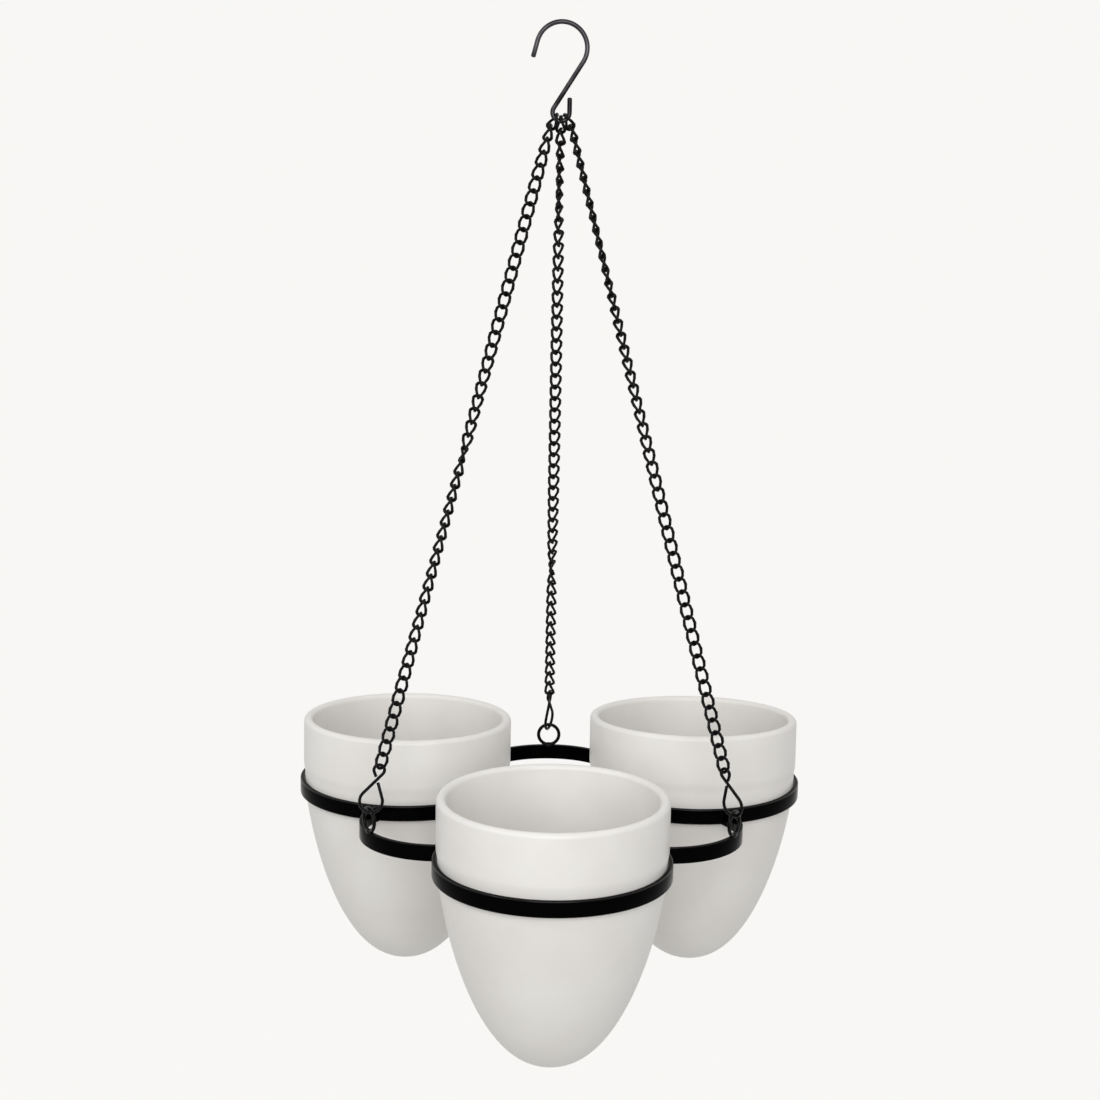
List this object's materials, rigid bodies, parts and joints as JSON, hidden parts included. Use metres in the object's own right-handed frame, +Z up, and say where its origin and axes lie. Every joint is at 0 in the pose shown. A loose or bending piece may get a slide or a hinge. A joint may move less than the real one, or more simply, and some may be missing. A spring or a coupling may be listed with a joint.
{
  "type": "hanging planter",
  "caption": "Hanging planter: glazed pots in rings of flat bar, hung by twisted-link chains, clips and eyelets from one S-hook.",
  "frame": {"origin": "inner top of the S-hook's large bend, the point that hangs on a bracket", "axes": "+Z up, +X to the right and -Y towards the viewer of the picture, with the S-hook in the XZ plane and one pot at the front"},
  "size_m": [0.338, 0.3214, 0.6256],
  "materials": {
    "glaze": "off-white satin glaze",
    "frame_paint": "black semi-gloss paint on welded steel",
    "chain_steel": "black lacquered steel wire",
    "hook_steel": "gunmetal-plated steel wire"
  },
  "bodies": {
    "hook": {"s_hook": "hook_steel"},
    "top_links": {"top_link_rear": "chain_steel", "top_link_left": "chain_steel", "top_link_right": "chain_steel"},
    "hanger": {"chain_rear": "chain_steel", "clip_rear": "frame_paint", "eyelet_rear": "frame_paint", "bridge_rear": "frame_paint", "chain_left": "chain_steel", "clip_left": "frame_paint", "eyelet_left": "frame_paint", "bridge_left": "frame_paint", "chain_right": "chain_steel", "clip_right": "frame_paint", "eyelet_right": "frame_paint", "bridge_right": "frame_paint", "ring_front": "frame_paint", "ring_rear_right": "frame_paint", "ring_rear_left": "frame_paint"},
    "pot_front": {"pot_front": "glaze"},
    "pot_rear_right": {"pot_rear_right": "glaze"},
    "pot_rear_left": {"pot_rear_left": "glaze"}
  },
  "joints": [
    {"name": "swing_side", "type": "hinge", "parent": "hook", "child": "top_links", "pos_m": [0, 0, -0.0526], "axis": [0, 1, 0], "range_deg": [-12, 12]},
    {"name": "swing_front_back", "type": "hinge", "parent": "top_links", "child": "hanger", "pos_m": [0, 0, -0.0625], "axis": [1, 0, 0], "range_deg": [-10, 10]},
    {"name": "lift_front_pot", "type": "slide", "parent": "hanger", "child": "pot_front", "axis": [0, 0, 1], "range_m": [0, 0.18]},
    {"name": "lift_rear_right_pot", "type": "slide", "parent": "hanger", "child": "pot_rear_right", "axis": [0.0022, 0.0628, 0.998], "range_m": [0, 0.18]},
    {"name": "lift_rear_left_pot", "type": "slide", "parent": "hanger", "child": "pot_rear_left", "axis": [0.0072, 0.0288, 0.9996], "range_m": [0, 0.18]}
  ]
}
